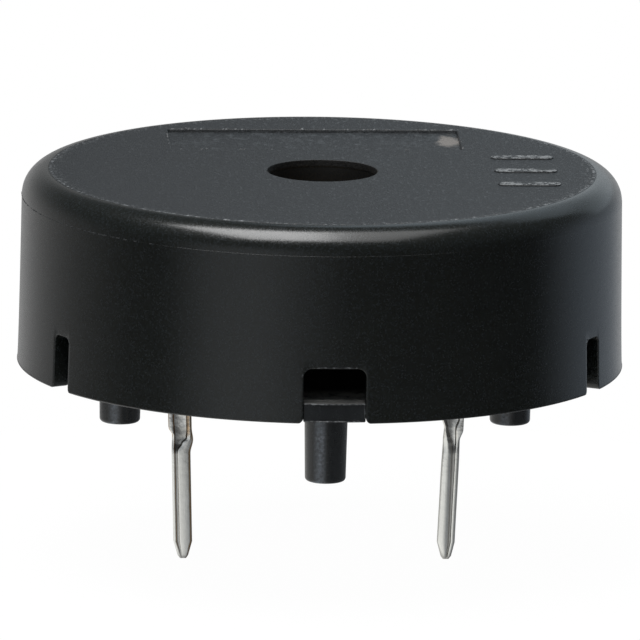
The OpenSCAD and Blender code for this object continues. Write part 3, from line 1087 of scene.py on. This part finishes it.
def make_camera():
    """A long lens a metre away, a little above the part and to the left of its front."""
    aim = Vector((-0.005, 0, 4.34)) * MM
    away = 1000 * MM
    azimuth, elevation, roll = math.radians(-3.0), math.radians(11.66), 0.0144
    back = Vector((math.sin(azimuth) * math.cos(elevation),
                   -math.cos(azimuth) * math.cos(elevation), math.sin(elevation)))
    level = Vector((math.cos(azimuth), math.sin(azimuth), 0))
    upward = back.cross(level)
    right = level * math.cos(roll) + upward * math.sin(roll)
    up = upward * math.cos(roll) - level * math.sin(roll)
    data = bpy.data.cameras.new("camera")
    data.lens = 1548
    data.sensor_width = 36.0
    data.clip_start, data.clip_end = 0.01, 10.0
    camera = bpy.data.objects.new("camera", data)
    camera.matrix_world = Matrix((
        (right.x, up.x, back.x, 0), (right.y, up.y, back.y, 0), (right.z, up.z, back.z, 0),
        (0, 0, 0, 1)))
    camera.location = aim + back * away
    bpy.context.scene.collection.objects.link(camera)
    bpy.context.scene.camera = camera


def area_light(name, width, height, radiance, tint):
    """A flat light of that size in metres, evenly bright, that the camera doesn't see."""
    data = bpy.data.lights.new(name, "AREA")
    data.shape = "RECTANGLE"
    data.size, data.size_y = width, height
    data.energy = radiance * math.pi * width * height
    data.color = tint
    light = bpy.data.objects.new(name, data)
    light.visible_camera = False
    bpy.context.scene.collection.objects.link(light)
    return light


def softbox(name, left, right, front, back, height, radiance):
    """A light over the part, by its reaches in metres. Front is towards the viewer."""
    light = area_light(name, left + right, front + back, radiance, (1, 1, 1))
    light.location = ((right - left) / 2, (back - front) / 2, height)


def rear_panel(bearing, rise, away, width, height, radiance, tint):
    """A bright panel near the part, behind it, facing it. The bearing is from the front, in degrees."""
    a, e = math.radians(bearing), math.radians(rise)
    out = Vector((math.sin(a) * math.cos(e), -math.cos(a) * math.cos(e), math.sin(e)))
    light = area_light("rear_panel", width, height, radiance, tint)
    light.location = Vector((0, 0, top_z)) * MM + out * away
    light.rotation_mode = "QUATERNION"
    light.rotation_quaternion = out.to_track_quat("Z", "Y")


# How bright the room is at eye level, by bearing from the front in degrees, + to the right,
# and how blue. Behind the part it is pale, and there is one window in front to the left.
room = (
    (-180, 0.54, 1.0), (-155, 0.55, 1.0), (-128, 0.41, 1.0), (-97, 0.2, 1.0), (-80, 0.07, 1.0),
    (-64, 0.05, 1.0), (-45, 0.55, 1.04), (-25, 0.62, 1.04), (-8, 0.3, 1.04), (8, 0.085, 1.0),
    (45, 0.055, 1.0), (88, 0.025, 1.0), (104, 0.31, 1.14), (116, 0.43, 1.16), (145, 0.43, 1.12),
    (158, 0.58, 1.04), (180, 0.54, 1.0),
)


def make_world():
    """White to the camera, and to the part the room's walls, with a dim ceiling."""
    fade_from, fade_to = math.radians(-4), math.radians(32)
    world = bpy.data.worlds.new("room")
    bpy.context.scene.world = world
    shader = Shader(world)
    toward = shader.node("ShaderNodeTexCoord", out="Generated")
    x, y, z = shader.split(toward)
    bearing = shader.node("ShaderNodeMath", {"operation": "ARCTAN2"}, {0: x, 1: 0 - y})
    stops = [((place + 180) / 360, shade(bright / blue, bright, bright * blue))
             for place, bright, blue in room]
    level = shader.node("ShaderNodeValToRGB", {"stops": stops}, {0: bearing * (0.5 / math.pi) + 0.5})
    overhead = shader.step(z, math.sin(fade_from), math.sin(fade_to))
    light = shader.mix(overhead, level, shade(0.06, 0.066, 0.072))
    paths = shader.node("ShaderNodeLightPath").socket.node.outputs
    seen = Value(shader, paths["Is Camera Ray"]).larger(Value(shader, paths["Is Transmission Ray"]))
    colour = shader.mix(seen, light, shade(1, 1, 1))
    surface = shader.node("ShaderNodeBackground", {}, {"Color": colour, "Strength": 1.0})
    shader.node("ShaderNodeOutputWorld", {}, {"Surface": surface})


def make_floor():
    """A white card under the pins. It takes the part's faint shadow and isn't seen from below.

    In mirrored rays it is dim on one side, as a room's table is.
    """
    card_r, card_gap, steps = 24.0, 0.01, 96
    lit_share = 0.985
    turns = [2 * math.pi * k / steps for k in range(steps)]
    rim = [(card_r * math.sin(a), card_r * math.cos(a), cad_low.z / MM - card_gap) for a in turns]
    mesh = bpy.data.meshes.new("floor")
    mesh.from_pydata([Vector(p) * MM for p in rim], [], [tuple(range(steps - 1, -1, -1))])
    floor = bpy.data.objects.new("floor", mesh)
    bpy.context.scene.collection.objects.link(floor)
    material = bpy.data.materials.new("white_card")
    shader = Shader(material)
    card = shader.node("ShaderNodeBsdfDiffuse", {}, {"Color": shade(0.9, 0.9, 0.9)})
    paths = shader.node("ShaderNodeLightPath").socket.node.outputs
    mirrored = Value(shader, paths["Is Glossy Ray"])
    leftward = shader.split(shader.node("ShaderNodeNewGeometry", out="Incoming"))[0]
    dim = shader.mix(shader.step(leftward, -0.45, 0.35), shade(0.2, 0.21, 0.22), shade(0.85, 0.85, 0.83))
    glow = shader.node("ShaderNodeEmission", {}, {"Color": shader.mix(mirrored, shade(1, 1, 1), dim)})
    clear = shader.node("ShaderNodeBsdfTransparent")
    seen = (Value(shader, paths["Is Camera Ray"]) * lit_share).larger(mirrored)
    upper = shader.node("ShaderNodeMixShader", {}, {0: seen, 1: card, 2: glow})
    behind = shader.node("ShaderNodeNewGeometry", out="Backfacing")
    both = shader.node("ShaderNodeMixShader", {}, {0: behind, 1: upper, 2: clear})
    shader.node("ShaderNodeOutputMaterial", {}, {"Surface": both})
    mesh.materials.append(material)


make_camera()
softbox("near_softbox", 0.31, 0.015, 0.378, 0.1, 0.55, 7.0)
softbox("wide_softbox", 0.29, 0.26, 0.42, 0.13, 0.56, 2.5)
rear_panel(148, 17, 0.075, 0.07, 0.028, 0.4, (0.85, 1.0, 1.1))
rear_panel(146, 41, 0.06, 0.06, 0.0245, 0.55, (0.85, 1.0, 1.12))
make_world()
make_floor()

bpy.context.scene.view_settings.view_transform = "Standard"
